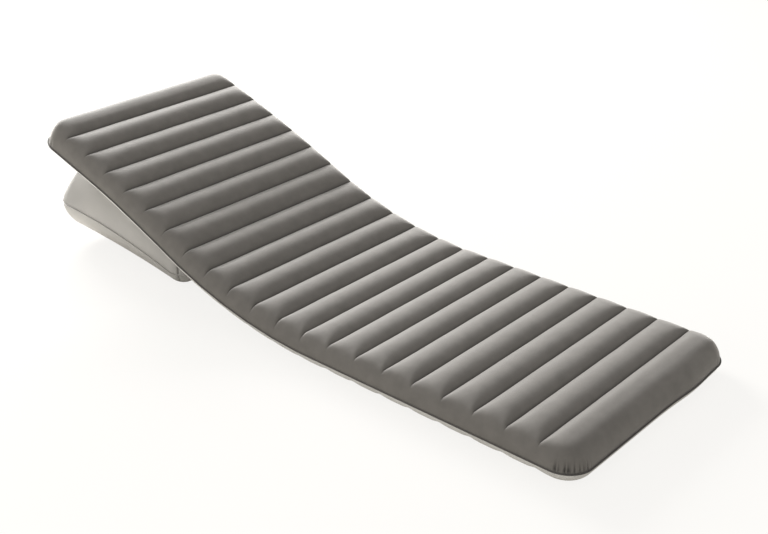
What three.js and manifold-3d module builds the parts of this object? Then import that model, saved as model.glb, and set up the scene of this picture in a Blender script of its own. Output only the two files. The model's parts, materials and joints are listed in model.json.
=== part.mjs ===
// Camping air mattress with cross-wise air channels and an air-filled backrest wedge under its head.
// Millimetres, +Z up, head towards +Y. The origin is on the floor under the crown of the last seat channel.
import * as THREE from 'three';
import { mergeVertices } from 'three/addons/utils/BufferGeometryUtils.js';
import Module from 'manifold-3d';

const wasm = await Module();
wasm.setup();

// The mat: air channels side by side from the foot, parted by grooves
const channelCount = 21;
const seatChannels = 9;
const bendChannels = 5;
const channelWidth = 90;
const matHalfWidth = 341;
const matCornerRadius = 64;
const topBulge = 67;
const bottomBulge = 62;
const footReach = 58.5;
const headReach = 50;
const seamHeight = 37.5;
const crownHeight = 95;
const crownDepth = 17;
const bellyDepth = 12;
const bellyFlatHalf = 16;
const grooveFadeEnd = 37;
const bellyFadeEnd = 20;

// The backrest: it bends up over a few grooves, then droops a little towards the head
const backAngle = THREE.MathUtils.degToRad(24);
const droopAngle = THREE.MathUtils.degToRad(0.87);

// Sheets, their welded edge and the gaps that touching pieces keep
const sheetGauge = 0.5;
const weldLip = 4;
const gap = 0.3;
const weldGap = 0.4;

// Baffles inside the mat
const baffleTab = 8;
const baffleEndGap = 13;

// The wedge under the backrest
const wedgeHalfWidth = 283;
const wedgeFrontRadius = 50;
const wedgeBackRadius = 82;
const wedgeFrontInset = 60;
const wedgeBackReach = 50;
const wedgeFrontSeam = 42;
const wedgeBackSeam = 127;
const wedgeBulgeShare = 0.45;
const wedgeUndercutShare = 0.6;
const tieShares = [0.24, 0.43, 0.62];
const tieTab = 10;
const tieEndGap = 8;

// The strip that joins the wedge to the mat
const anchorChannel = 16;
const anchorHalfFlange = 15;
const anchorGauge = 0.8;
const anchorEndGap = 6;

// The mattress valve, in the far side wall near the foot
const valveChannel = 3;
const bossRadius = 19;
const bossMargin = 1;
const bossDepth = 6.5;
const bossRise = 1.5;
const baseFlangeRadius = 17.5;
const baseFlangeGauge = 1.5;
const neckRadius = 13;
const neckWall = 2;
const neckReach = 12;
const neckUpstand = 1.1;
const gasketRadius = 15.2;
const gasketGauge = 1.4;
const collarRadius = 16;
const collarGauge = 3.7;
const collarGrips = 18;
const collarGripDepth = 0.7;
const collarTubeWall = 1;
const collarReach = 9;
const flapGauge = 0.6;
const flapLap = 0.3;

// The caps of both valves, which swing on a knuckle between two lugs
const capGauge = 2.2;
const capRadius = 12.5;
const capStemLength = 4;
const capStemClearance = 0.3;
const capStemTaper = 0.7;
const knuckleRadius = 1.25;
const knuckleHalfWidth = 2.5;
const hingeMargin = 1.9;
const pinRadius = 0.6;
const lugWidth = 2.2;
const lugHalfDepth = 1.4;
const lugRise = 1.3;

// The wedge valve, in the back wall of the wedge
const wedgeValveRise = 16;
const stemFlangeRadius = 12;
const stemFlangeGauge = 1.2;
const stemRadius = 6;
const stemWall = 1.5;
const stemReach = 8;
const stemLength = 9;
const stemRimRadius = 9.8;
const stemRimGauge = 1.5;
const plugRadius = 6.4;
const plugStemLength = 2.8;
const plugStemTaper = 0.5;

// How finely the round forms are divided
const matEdgeShares = [0, 0.06, 0.24, 0.56];
const matSideShares = [0, 0.16, 0.52, 1.2];
const wedgeEdgeShares = [0, 0.06, 0.2, 0.42, 0.7, 1];
const wedgeSideShares = [0, 0.06, 0.2, 0.42, 0.7, 1.2];
const sideShareLimit = 1.3;
const crownShares = [-0.6, -0.2, 0.2, 0.6, 1];
const roundSides = 24;
const smallSides = 12;

const halfChannel = channelWidth / 2;
const matLength = footReach + (channelCount - 1) * channelWidth + headReach;
const lastBend = seatChannels + bendChannels;

// Solids joined and cut

function solidOf(geometry) {
  const bare = geometry.clone();
  bare.deleteAttribute('normal');
  bare.deleteAttribute('uv');
  const merged = mergeVertices(bare);
  const vertProperties = merged.attributes.position.array;
  const triVerts = new Uint32Array(merged.index.array);
  return new wasm.Manifold(new wasm.Mesh({ numProp: 3, vertProperties, triVerts }));
}

function geometryOf(solid) {
  const mesh = solid.getMesh();
  const geometry = new THREE.BufferGeometry();
  geometry.setAttribute('position', new THREE.BufferAttribute(new Float32Array(mesh.vertProperties), 3));
  geometry.setIndex([...mesh.triVerts]);
  geometry.computeVertexNormals();
  return geometry;
}

function joined(first, ...others) {
  return geometryOf(others.reduce((solid, other) => solid.add(solidOf(other)), solidOf(first)));
}

function cut(first, ...tools) {
  return geometryOf(tools.reduce((solid, tool) => solid.subtract(solidOf(tool)), solidOf(first)));
}

// A closed skin between an upper and a lower grid of points, walled along its four edges
function closedShell(upper, lower) {
  const rows = upper.length;
  const columns = upper[0].length;
  const positions = [upper, lower].flat(2).flat();
  const corners = [];
  const at = (side, row, column) => (side * rows + row) * columns + column;
  const quad = (a, b, c, d) => corners.push(a, b, c, a, c, d);
  for (let r = 0; r < rows - 1; r += 1) {
    for (let c = 0; c < columns - 1; c += 1) {
      quad(at(0, r, c), at(0, r, c + 1), at(0, r + 1, c + 1), at(0, r + 1, c));
      quad(at(1, r, c), at(1, r + 1, c), at(1, r + 1, c + 1), at(1, r, c + 1));
    }
  }
  const border = [];
  for (let c = 0; c < columns - 1; c += 1) border.push([0, c]);
  for (let r = 0; r < rows - 1; r += 1) border.push([r, columns - 1]);
  for (let c = columns - 1; c > 0; c -= 1) border.push([rows - 1, c]);
  for (let r = rows - 1; r > 0; r -= 1) border.push([r, 0]);
  border.forEach(([r, c], i) => {
    const [nextR, nextC] = border[(i + 1) % border.length];
    quad(at(1, r, c), at(1, nextR, nextC), at(0, nextR, nextC), at(0, r, c));
  });
  const geometry = new THREE.BufferGeometry();
  geometry.setAttribute('position', new THREE.Float32BufferAttribute(positions, 3));
  geometry.setIndex(corners);
  const merged = mergeVertices(geometry);
  merged.setIndex(withoutSlivers([...merged.index.array]));
  merged.computeVertexNormals();
  return merged;
}

// Triangles that keep three different corners
function withoutSlivers(corners) {
  const kept = [];
  for (let i = 0; i < corners.length; i += 3) {
    const [a, b, c] = corners.slice(i, i + 3);
    if (a !== b && b !== c && c !== a) kept.push(a, b, c);
  }
  return kept;
}

// Plan of a panel: a rectangle with rounded corners, measured along its length from the foot end

// Radius of the corners at the end that a station is nearer to
function radiusAt(plan, station) {
  return station < plan.length / 2 ? plan.startRadius : plan.endRadius;
}

function outlineAt(plan, station) {
  const radius = radiusAt(plan, station);
  const fromEnd = Math.min(station, plan.length - station);
  const short = Math.max(radius - fromEnd, 0);
  const across = Math.sqrt(radius ** 2 - short ** 2);
  const towards = station < plan.length / 2 ? -1 : 1;
  return { x: plan.halfWidth - radius + across, nx: across / radius, nt: towards * short / radius };
}

// Distance of a plan point from the outline, inwards
function insetOf(plan, station, x) {
  const radius = radiusAt(plan, station);
  const qx = Math.abs(x) - (plan.halfWidth - radius);
  const qt = Math.abs(station - plan.length / 2) - (plan.length / 2 - radius);
  const outside = Math.hypot(Math.max(qx, 0), Math.max(qt, 0));
  return Math.max(radius - outside - Math.min(Math.max(qx, qt), 0), 0);
}

// Share of the full rise that a bulging edge has reached, a quarter of an ellipse
function bulgeShare(inset, bulge) {
  const left = Math.max(1 - inset / bulge, 0);
  return Math.sqrt(1 - left ** 2);
}

// Plan points of one row, from the left lip to the right one; the two sides stay apart in the middle
function planRow({ plan, sideShares, bulge }, side, station) {
  const end = Math.sign(Math.max(station - plan.length, 0) + Math.min(station, 0));
  const onRim = station === 0 || station === plan.length;
  const { x, nx, nt } = outlineAt(plan, Math.min(Math.max(station, 0), plan.length));
  const half = [end === 0
    ? { kind: 'lip', x: x + weldLip * nx, t: station + weldLip * nt }
    : { kind: 'lip', x, t: station }];
  const reach = Math.min(bulge(side, station), x / sideShareLimit);
  sideShares.forEach((share, i) => {
    const kind = end !== 0 ? 'lip' : (onRim || i === 0 ? 'rim' : 'body');
    half.push({ kind, x: x - share * reach, t: station, nx: i === 0 ? nx : 0, nt });
  });
  const mirrored = half.map(point => ({ ...point, x: -point.x, nx: -point.nx }));
  return [...mirrored, ...[...half].reverse()];
}

// A sheet of a panel: side is 1 above the seam and -1 below it, and cutEnds are ends at a cut, not a lip
function sheet(panel, side, stations, cutEnds) {
  const { plan } = panel;
  const rows = stations.map(station => planRow(panel, side, station));
  const height = (t, x) => panel.height(side, t, x);
  const step = sheetGauge / 10;
  const level = (t, out) => panel.seam(t) + side * (gap / 2 + out * sheetGauge);
  const point = (out, { kind, x, t, nx, nt }, square) => {
    if (kind === 'lip') return panel.place(t, x, level(t, out));
    const inward = (1 - out) * sheetGauge;
    if (kind === 'rim') return panel.place(t - inward * nt, x - inward * nx, level(t, out));
    const slopeX = (height(t, x + step) - height(t, x - step)) / (2 * step);
    const slopeT = square ? 0 : (height(t + step, x) - height(t - step, x)) / (2 * step);
    const push = side * inward / Math.hypot(slopeX, slopeT, 1);
    return panel.place(t + push * slopeT, x + push * slopeX, height(t, x) - push);
  };
  const grid = out => rows.map((row, r) => {
    const square = (r === 0 && cutEnds[0]) || (r === rows.length - 1 && cutEnds[1]);
    return row.map(planPoint => point(out, planPoint, square));
  });
  return side > 0 ? closedShell(grid(1), grid(0)) : closedShell(grid(0), grid(1));
}

// The mat's bent spine: one hinge point for each groove, at the height of the grooves underneath

function bendAt(groove) {
  if (groove < seatChannels || groove >= channelCount) return 0;
  return groove <= lastBend ? backAngle / (bendChannels + 1) : -droopAngle;
}

function tiltOf(channel) {
  let tilt = 0;
  for (let groove = 1; groove < channel; groove += 1) tilt += bendAt(groove);
  return tilt;
}

// Lean of a channel's side at a groove, which meets its neighbour's in the plane that halves the bend
const leanAt = groove => Math.tan(bendAt(groove) / 2);
const grooveHeight = crownHeight - crownDepth;
const grooveToHinge = grooveHeight - bellyDepth;

function spinePoints() {
  const start = new THREE.Vector2(halfChannel - seatChannels * channelWidth, bellyDepth);
  const points = [start];
  for (let k = 1; k <= channelCount; k += 1) {
    const length = channelWidth + grooveToHinge * (leanAt(k - 1) + leanAt(k));
    const stride = new THREE.Vector2(length, 0).rotateAround(new THREE.Vector2(), tiltOf(k));
    points.push(points[k - 1].clone().add(stride));
  }
  return points;
}

const spine = spinePoints();
const crownStation = channel => footReach + (channel - 1) * channelWidth;
const grooveStation = groove => crownStation(groove) + halfChannel;

// From the flat mat to its bent shape: the grooves on top keep the channel pitch
function placeOnMat(station, x, height) {
  const turn = Math.floor((station - footReach + halfChannel) / channelWidth) + 1;
  const channel = Math.min(Math.max(turn, 1), channelCount);
  const along = station - crownStation(channel);
  const lean = leanAt(along < 0 ? channel - 1 : channel);
  const fromHinge = halfChannel + grooveToHinge * leanAt(channel - 1);
  const s = fromHinge + along * (1 + lean * (grooveHeight - height) / halfChannel);
  const rise = height - bellyDepth;
  const tilt = tiltOf(channel);
  const y = spine[channel - 1].x + s * Math.cos(tilt) - rise * Math.sin(tilt);
  const z = spine[channel - 1].y + s * Math.sin(tilt) + rise * Math.cos(tilt);
  return [x, y, z];
}

// Sag of a circular arc from its crown, for an arc that falls by depth over a half width
function arcDrop(offset, halfWidth, depth) {
  const reach = Math.min(Math.abs(offset), halfWidth);
  const radius = (halfWidth ** 2 + depth ** 2) / (2 * depth);
  return radius - Math.sqrt(radius ** 2 - reach ** 2);
}

const matPanel = {
  plan: { halfWidth: matHalfWidth, length: matLength, startRadius: matCornerRadius, endRadius: matCornerRadius },
  sideShares: matSideShares,
  seam: () => seamHeight,
  bulge: side => side > 0 ? topBulge : bottomBulge,
  place: placeOnMat,
  height(side, t, x) {
    const inset = insetOf(this.plan, t, x);
    const within = Math.min(Math.max(t, footReach), matLength - headReach) - footReach;
    const offset = within - Math.round(within / channelWidth) * channelWidth;
    if (side > 0) {
      const fade = THREE.MathUtils.smoothstep(inset, 0, grooveFadeEnd);
      const rise = crownHeight - seamHeight - arcDrop(offset, halfChannel, crownDepth) * fade;
      return seamHeight + rise * bulgeShare(inset, topBulge);
    }
    const fade = THREE.MathUtils.smoothstep(inset, 0, bellyFadeEnd);
    const past = Math.max(Math.abs(offset) - bellyFlatHalf, 0);
    const depth = seamHeight - arcDrop(past, halfChannel - bellyFlatHalf, bellyDepth) * fade;
    return seamHeight - depth * bulgeShare(inset, bottomBulge);
  },
};

// Stations of a sheet's rows between two grooves, or to the lip at an end of the mat
function matStations(offsets, first, last) {
  const all = matEdgeShares.map(share => share * footReach);
  all.push(footReach);
  for (let k = 1; k <= channelCount; k += 1) {
    const rows = offsets.map(offset => crownStation(k) + offset);
    all.push(...rows.filter(t => t > footReach && t < matLength - headReach));
  }
  all.push(matLength - headReach);
  all.push(...[...matEdgeShares].reverse().map(share => matLength - share * headReach));
  const start = first === 1 ? -weldLip : grooveStation(first - 1) + gap / 2;
  const end = last === channelCount ? matLength + weldLip : grooveStation(last) - gap / 2;
  return [start, ...all.filter(t => t > start + gap && t < end - gap), end];
}

const topOffsets = crownShares.map(share => share * halfChannel);
const bellyOffsets = [-bellyFlatHalf, bellyFlatHalf, halfChannel];

function matSheet(side, first, last) {
  const stations = matStations(side > 0 ? topOffsets : bellyOffsets, first, last);
  return sheet(matPanel, side, stations, [first > 1, last < channelCount]);
}

// Profiles drawn across the mat, in the YZ plane, and run along X

function runAlongX(points, halfLength) {
  const shape = new THREE.Shape(points.map(([, y, z]) => new THREE.Vector2(y, z)));
  const geometry = new THREE.ExtrudeGeometry(shape, { depth: 2 * halfLength, bevelEnabled: false });
  geometry.translate(0, 0, -halfLength);
  const toX = new THREE.Matrix4().makeBasis(
    new THREE.Vector3(0, 1, 0), new THREE.Vector3(0, 0, 1), new THREE.Vector3(1, 0, 0));
  return geometry.applyMatrix4(toX);
}

// Height inside a sheet near a groove, on the facet that runs down to the groove
function insideNearGroove(side, groove, station) {
  const offsets = side > 0 ? topOffsets : bellyOffsets;
  const facet = halfChannel - offsets[offsets.length - 2];
  const from = grooveStation(groove) - facet;
  const heightAt = t => matPanel.height(side, t, 0) - side * sheetGauge;
  const share = (station - from) / facet;
  return THREE.MathUtils.lerp(heightAt(from), heightAt(grooveStation(groove)), share) - side * weldGap;
}

// A baffle: a web from the bottom sheet to the top one, with a welded tab along each, on the foot side
function baffle(groove) {
  const head = grooveStation(groove) - gap / 2;
  const foot = head - sheetGauge;
  const tab = head - baffleTab;
  const edge = side => [head, tab].map(t => [t, insideNearGroove(side, groove, t)]);
  const [topHead, topTab] = edge(1);
  const [lowHead, lowTab] = edge(-1);
  const under = ([t, h]) => [t, h - sheetGauge];
  const above = ([t, h]) => [t, h + sheetGauge];
  const profile = [lowHead, topHead, topTab, under(topTab), [foot, insideNearGroove(1, groove, foot) - sheetGauge],
    [foot, insideNearGroove(-1, groove, foot) + sheetGauge], above(lowTab), lowTab];
  const points = profile.map(([t, h]) => placeOnMat(t, 0, h));
  return runAlongX(points.reverse(), matHalfWidth - topBulge - baffleEndGap);
}

// The wedge: it stands on the floor and its top follows the underside of the backrest

const undersidePoint = groove => placeOnMat(grooveStation(groove), 0, 0);
const headEnd = placeOnMat(matLength, 0, 0);
const wedgeFront = spine[lastBend].x + wedgeFrontInset;
const wedgeBack = headEnd[1] + wedgeBackReach;

function undersideAt(y) {
  const points = [];
  for (let groove = seatChannels; groove < channelCount; groove += 1) points.push(undersidePoint(groove));
  points.push(headEnd);
  const past = points.findIndex(point => point[1] > y);
  const i = past < 0 ? points.length - 1 : Math.max(past, 1);
  const share = (y - points[i - 1][1]) / (points[i][1] - points[i - 1][1]);
  return THREE.MathUtils.lerp(points[i - 1][2], points[i][2], share);
}

const wedgeTopAt = y => undersideAt(y) - gap;
const wedgeLength = wedgeBack - wedgeFront;

// How far the wedge's skin curves in from its seam: it grows with the height of the wedge
const wedgeBulgeAt = (side, y) => (side > 0 ? wedgeBulgeShare : wedgeUndercutShare) * wedgeTopAt(y);

// Half width over which its top or its floor side is flat
const lastSideShare = wedgeSideShares[wedgeSideShares.length - 1];
const wedgeFlatHalf = (side, y) => wedgeHalfWidth - lastSideShare * wedgeBulgeAt(side, y);

const wedgePanel = {
  plan: {
    halfWidth: wedgeHalfWidth, length: wedgeLength, startRadius: wedgeFrontRadius, endRadius: wedgeBackRadius,
  },
  sideShares: wedgeSideShares,
  seam: t => THREE.MathUtils.lerp(wedgeBackSeam, wedgeFrontSeam, (1 - t / wedgeLength) ** 2),
  bulge: (side, t) => wedgeBulgeAt(side, wedgeFront + t),
  place: (t, x, height) => [x, wedgeFront + t, height],
  height(side, t, x) {
    const seam = this.seam(t);
    const share = bulgeShare(insetOf(this.plan, t, x), this.bulge(side, t));
    return side > 0 ? seam + (wedgeTopAt(wedgeFront + t) - seam) * share : seam * (1 - share);
  },
};

function wedgeStations() {
  const front = wedgeBulgeAt(-1, wedgeFront + wedgeBulgeAt(-1, wedgeFront));
  const back = wedgeBulgeAt(-1, wedgeBack);
  const grooves = [];
  for (let groove = lastBend + 1; groove < channelCount; groove += 1) {
    grooves.push(undersidePoint(groove)[1] - wedgeFront);
  }
  const middle = grooves.filter(t => t > front + gap && t < wedgeLength - back - gap);
  return [-weldLip, ...wedgeEdgeShares.map(share => share * front), ...middle,
    ...wedgeEdgeShares.map(share => wedgeLength - share * back).reverse(), wedgeLength + weldLip];
}

function wedgeShell(side) {
  return sheet(wedgePanel, side, wedgeStations(), [false, false]);
}

// A tie of the wedge: a web between its two shells, with a welded tab along each
function wedgeTie(share) {
  const y = wedgeFront + share * wedgeLength;
  const low = sheetGauge + weldGap;
  const slope = (undersideAt(y + tieTab) - undersideAt(y)) / tieTab;
  const top = at => wedgeTopAt(at) - sheetGauge * Math.hypot(1, slope) - weldGap;
  const profile = [[y, low], [y + tieTab, low], [y + tieTab, low + sheetGauge], [y + sheetGauge, low + sheetGauge],
    [y + sheetGauge, top(y + sheetGauge) - sheetGauge], [y + tieTab, top(y + tieTab) - sheetGauge],
    [y + tieTab, top(y + tieTab)], [y, top(y)]];
  const points = profile.map(([at, z]) => [0, at, z]);
  return runAlongX(points, wedgeFlatHalf(-1, y + tieTab) - tieEndGap);
}

// The anchor strip: its web is welded into a groove underneath the mat and its flange on the wedge
function anchorStrip() {
  const middle = grooveStation(anchorChannel);
  const half = anchorGauge / 2;
  const top = bellyDepth - weldGap;
  const profile = [[-anchorHalfFlange, 0], [0, 0], [anchorHalfFlange, 0], [anchorHalfFlange, anchorGauge],
    [half, anchorGauge], [half, top], [-half, top], [-half, anchorGauge], [-anchorHalfFlange, anchorGauge]];
  const points = profile.map(([offset, h]) => placeOnMat(middle + offset, 0, h));
  return runAlongX(points, wedgeFlatHalf(1, points[0][1]) - anchorEndGap);
}

// Valves, drawn with their axis along +Z and the outside of the wall above zero

function turned(profile, sides) {
  const points = [...profile, profile[0]].map(([r, u]) => new THREE.Vector2(r, u));
  return new THREE.LatheGeometry(points, sides).rotateX(Math.PI / 2);
}

function rod(radius, from, to, sides) {
  const geometry = new THREE.CylinderGeometry(radius, radius, to - from, sides).rotateX(Math.PI / 2);
  return geometry.translate(0, 0, (from + to) / 2);
}

function block([x0, x1], [y0, y1], [z0, z1]) {
  const geometry = new THREE.BoxGeometry(x1 - x0, y1 - y0, z1 - z0);
  return geometry.translate((x0 + x1) / 2, (y0 + y1) / 2, (z0 + z1) / 2);
}

function crossRod(radius, halfLength, y, z) {
  const geometry = new THREE.CylinderGeometry(radius, radius, 2 * halfLength, smallSides);
  return geometry.rotateZ(Math.PI / 2).translate(0, y, z);
}

// Where a valve sits on the facet of a bulging wall next to the seam, which goes in by a depth:
// its centre, and its tilt from level
function wallSeat(panel, station, depth, reach) {
  const { plan } = panel;
  const rim = new THREE.Vector2(0, panel.seam(station) + gap / 2 + sheetGauge);
  const inner = station < plan.length ? [station, plan.halfWidth - depth] : [plan.length - depth, 0];
  const up = new THREE.Vector2(-depth, panel.height(1, ...inner)).sub(rim);
  const tilt = Math.atan2(-up.x, up.y);
  const centre = up.normalize().multiplyScalar(reach).add(rim);
  return { out: centre.x, level: centre.y, tilt };
}

const valveSeat = wallSeat(
  matPanel, crownStation(valveChannel), matSideShares[1] * topBulge, bossRadius + bossMargin);
const valveY = placeOnMat(crownStation(valveChannel), 0, 0)[1];
const wedgeSeat = wallSeat(
  wedgePanel, wedgeLength, wedgeEdgeShares[1] * wedgeBulgeAt(-1, wedgeBack), wedgeValveRise);

// Levels of the mattress valve's stack, from the boss outwards
const flangeFloor = bossRise + gap;
const flangeTop = flangeFloor + baseFlangeGauge;
const gasketFloor = flangeTop + gap;
const collarFloor = gasketFloor + gasketGauge + gap;
const collarTop = collarFloor + collarGauge;
const collarBore = neckRadius - neckWall - gap - collarTubeWall;

function valveMatrix() {
  const turn = new THREE.Matrix4().makeRotationY(Math.PI / 2 - valveSeat.tilt);
  return turn.setPosition(matHalfWidth + valveSeat.out, valveY, valveSeat.level);
}

function seatTopSheet() {
  const boss = rod(bossRadius, -bossDepth, bossRise, roundSides).applyMatrix4(valveMatrix());
  const hole = rod(neckRadius + gap, -2 * bossDepth, 2 * bossDepth, roundSides).applyMatrix4(valveMatrix());
  return cut(joined(matSheet(1, 1, seatChannels), boss), hole);
}

function valveBase() {
  const bore = neckRadius - neckWall;
  return turned([[bore, -neckReach], [neckRadius, -neckReach], [neckRadius, flangeFloor],
    [baseFlangeRadius, flangeFloor], [baseFlangeRadius, flangeTop], [neckRadius, flangeTop],
    [neckRadius, flangeTop + neckUpstand], [bore, flangeTop + neckUpstand]], roundSides);
}

function valveGasket() {
  const bore = neckRadius + gap;
  return turned([[bore, gasketFloor], [gasketRadius, gasketFloor], [gasketRadius, gasketFloor + gasketGauge],
    [bore, gasketFloor + gasketGauge]], roundSides);
}

// Lugs that hold a cap's pin, standing on a rim whose top is at a level
function withLugs(rim, level, capEdge) {
  const hinge = capEdge + hingeMargin;
  const pinLevel = level + gap + knuckleRadius;
  const inner = knuckleHalfWidth + gap;
  const depth = [-hinge - lugHalfDepth, -hinge + lugHalfDepth];
  const lugs = [-1, 1].map(side => {
    const ends = [side * inner, side * (inner + lugWidth)].sort((a, b) => a - b);
    return block(ends, depth, [level - knuckleRadius / 2, pinLevel + lugRise]);
  });
  return cut(joined(rim, ...lugs), crossRod(pinRadius + gap, 2 * (inner + lugWidth), -hinge, pinLevel));
}

// A cap: a disc with a tapered stem that plugs the bore, and a knuckle and pin on its edge
function hingedCap({ level, radius, bore, stemLength, taper }) {
  const floor = level + gap;
  const hinge = radius + hingeMargin;
  const pinLevel = floor + knuckleRadius;
  const root = bore - capStemClearance;
  const disc = turned([[0, floor - stemLength], [root - taper, floor - stemLength], [root, floor], [radius, floor],
    [radius, floor + capGauge], [0, floor + capGauge]], roundSides);
  const knuckle = crossRod(knuckleRadius, knuckleHalfWidth, -hinge, pinLevel);
  const pin = crossRod(pinRadius, knuckleHalfWidth + gap + lugWidth, -hinge, pinLevel);
  const half = [-knuckleHalfWidth, knuckleHalfWidth];
  const strap = block(half, [-hinge, -radius + hingeMargin], [floor, floor + capGauge]);
  return joined(disc, knuckle, pin, strap);
}

function collarRim() {
  const shape = new THREE.Shape();
  const steps = 4 * collarGrips;
  for (let i = 0; i < steps; i += 1) {
    const angle = 2 * Math.PI * i / steps;
    const radius = collarRadius - collarGripDepth * (1 - Math.cos(collarGrips * angle)) / 2;
    shape[i ? 'lineTo' : 'moveTo'](radius * Math.cos(angle), radius * Math.sin(angle));
  }
  const rim = new THREE.ExtrudeGeometry(shape, { depth: collarGauge, bevelEnabled: false });
  return rim.translate(0, 0, collarFloor);
}

function valveCollar() {
  const tube = rod(collarBore + collarTubeWall, -collarReach, collarFloor + gap, roundSides);
  const bore = rod(collarBore, -2 * collarReach, 2 * collarTop, roundSides);
  return withLugs(cut(joined(collarRim(), tube), bore), collarTop, capRadius);
}

// A flap under the inner end of a bore, lapping it all round
function flap(bore, reach) {
  return rod(bore + flapLap, -reach - gap - flapGauge, -reach - gap, roundSides);
}

function wedgeUpperShell() {
  const hole = rod(stemRadius + gap, -stemReach, stemReach, roundSides).applyMatrix4(wedgeValveMatrix());
  return cut(wedgeShell(1), hole);
}

function wedgeValveMatrix() {
  const turn = new THREE.Matrix4().makeRotationX(wedgeSeat.tilt - Math.PI / 2);
  return turn.setPosition(0, wedgeBack + wedgeSeat.out, wedgeSeat.level);
}

function wedgeStem() {
  const bore = stemRadius - stemWall;
  const rimFloor = stemLength - stemRimGauge;
  const tube = turned([[bore, -stemReach], [stemRadius, -stemReach], [stemRadius, gap], [stemFlangeRadius, gap],
    [stemFlangeRadius, gap + stemFlangeGauge], [stemRadius, gap + stemFlangeGauge], [stemRadius, rimFloor],
    [stemRimRadius, rimFloor], [stemRimRadius, stemLength], [bore, stemLength]], roundSides);
  return withLugs(tube, stemLength, plugRadius);
}

// Finishes

const finishes = {
  flock: new THREE.MeshStandardMaterial({ color: 0x76726b, roughness: 0.9, metalness: 0 }),
  sheet: new THREE.MeshStandardMaterial({ color: 0xaeaca7, roughness: 0.6, metalness: 0 }),
  web: new THREE.MeshStandardMaterial({ color: 0x9c9a96, roughness: 0.6, metalness: 0 }),
  valve: new THREE.MeshStandardMaterial({ color: 0x4a4947, roughness: 0.45, metalness: 0 }),
  seal: new THREE.MeshStandardMaterial({ color: 0x222222, roughness: 0.8, metalness: 0 }),
  clear: new THREE.MeshStandardMaterial({ color: 0xd8d8d4, roughness: 0.3, metalness: 0 }),
};

function named(name, geometry, finish) {
  const mesh = new THREE.Mesh(geometry, finishes[finish].clone());
  mesh.name = name;
  return mesh;
}

// Assembly

const mattress = new THREE.Group();

function addSeat() {
  mattress.add(named('seat_top_sheet', seatTopSheet(), 'flock'));
  mattress.add(named('seat_bottom_sheet', matSheet(-1, 1, seatChannels), 'sheet'));
}

function addBends() {
  for (let channel = seatChannels + 1; channel <= lastBend; channel += 1) {
    mattress.add(named(`bend_${channel}_top_sheet`, matSheet(1, channel, channel), 'flock'));
    mattress.add(named(`bend_${channel}_bottom_sheet`, matSheet(-1, channel, channel), 'sheet'));
  }
}

function addBack() {
  mattress.add(named('back_top_sheet', matSheet(1, lastBend + 1, channelCount), 'flock'));
  mattress.add(named('back_bottom_sheet', matSheet(-1, lastBend + 1, channelCount), 'sheet'));
}

function addBaffles() {
  for (let groove = 1; groove < channelCount; groove += 1) {
    mattress.add(named(`baffle_${groove}`, baffle(groove), 'web'));
  }
}

function addWedge() {
  mattress.add(named('wedge_upper_shell', wedgeUpperShell(), 'sheet'));
  mattress.add(named('wedge_lower_shell', wedgeShell(-1), 'sheet'));
  mattress.add(named('wedge_anchor_strip', anchorStrip(), 'web'));
  tieShares.forEach((share, i) => mattress.add(named(`wedge_tie_${i + 1}`, wedgeTie(share), 'web')));
}

function addMattressValve() {
  const valve = new THREE.Group();
  valve.applyMatrix4(valveMatrix());
  const cap = {
    level: collarTop, radius: capRadius, bore: collarBore, stemLength: capStemLength, taper: capStemTaper,
  };
  valve.add(named('valve_base', valveBase(), 'valve'));
  valve.add(named('valve_gasket', valveGasket(), 'seal'));
  valve.add(named('valve_collar', valveCollar(), 'valve'));
  valve.add(named('valve_flap', flap(collarBore, collarReach), 'clear'));
  valve.add(named('valve_cap', hingedCap(cap), 'valve'));
  mattress.add(valve);
}

function addWedgeValve() {
  const valve = new THREE.Group();
  valve.applyMatrix4(wedgeValveMatrix());
  const bore = stemRadius - stemWall;
  const plug = {
    level: stemLength, radius: plugRadius, bore, stemLength: plugStemLength, taper: plugStemTaper,
  };
  const sideways = new THREE.Group();
  sideways.rotation.z = Math.PI / 2;
  sideways.add(named('wedge_valve_stem', wedgeStem(), 'clear'));
  sideways.add(named('wedge_valve_plug', hingedCap(plug), 'clear'));
  sideways.add(named('wedge_valve_flap', flap(bore, stemReach), 'clear'));
  valve.add(sideways);
  mattress.add(valve);
}

addSeat();
addBends();
addBack();
addBaffles();
addWedge();
addMattressValve();
addWedgeValve();

export default mattress;
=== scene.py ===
import json
import math
import bpy
import numpy as np
from mathutils import Matrix, Vector


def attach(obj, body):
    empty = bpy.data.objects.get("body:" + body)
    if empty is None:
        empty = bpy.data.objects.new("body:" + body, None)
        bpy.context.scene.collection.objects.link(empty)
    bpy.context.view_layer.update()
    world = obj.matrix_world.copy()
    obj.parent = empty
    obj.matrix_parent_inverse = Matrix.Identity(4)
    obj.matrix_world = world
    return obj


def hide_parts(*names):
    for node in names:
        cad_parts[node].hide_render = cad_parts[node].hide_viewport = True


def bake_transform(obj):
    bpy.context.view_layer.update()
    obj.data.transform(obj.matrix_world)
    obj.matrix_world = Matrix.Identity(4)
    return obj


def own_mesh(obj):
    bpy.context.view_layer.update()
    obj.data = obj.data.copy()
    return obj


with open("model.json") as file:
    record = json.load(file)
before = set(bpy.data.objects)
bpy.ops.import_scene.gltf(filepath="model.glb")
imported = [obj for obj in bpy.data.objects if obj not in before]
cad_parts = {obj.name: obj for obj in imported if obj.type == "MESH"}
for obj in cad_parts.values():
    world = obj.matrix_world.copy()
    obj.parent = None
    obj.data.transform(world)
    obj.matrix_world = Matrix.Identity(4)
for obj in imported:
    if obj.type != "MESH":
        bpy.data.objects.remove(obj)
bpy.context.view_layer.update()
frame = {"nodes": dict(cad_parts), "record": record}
print("frame loaded:", len(frame["nodes"]), "nodes")

# metres and radians throughout, in the same frame as the solids: head towards +Y, floor at z 0
tiny = 1e-12  # keeps a division from failing where a length is nil


# curves that the shapes share

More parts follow.
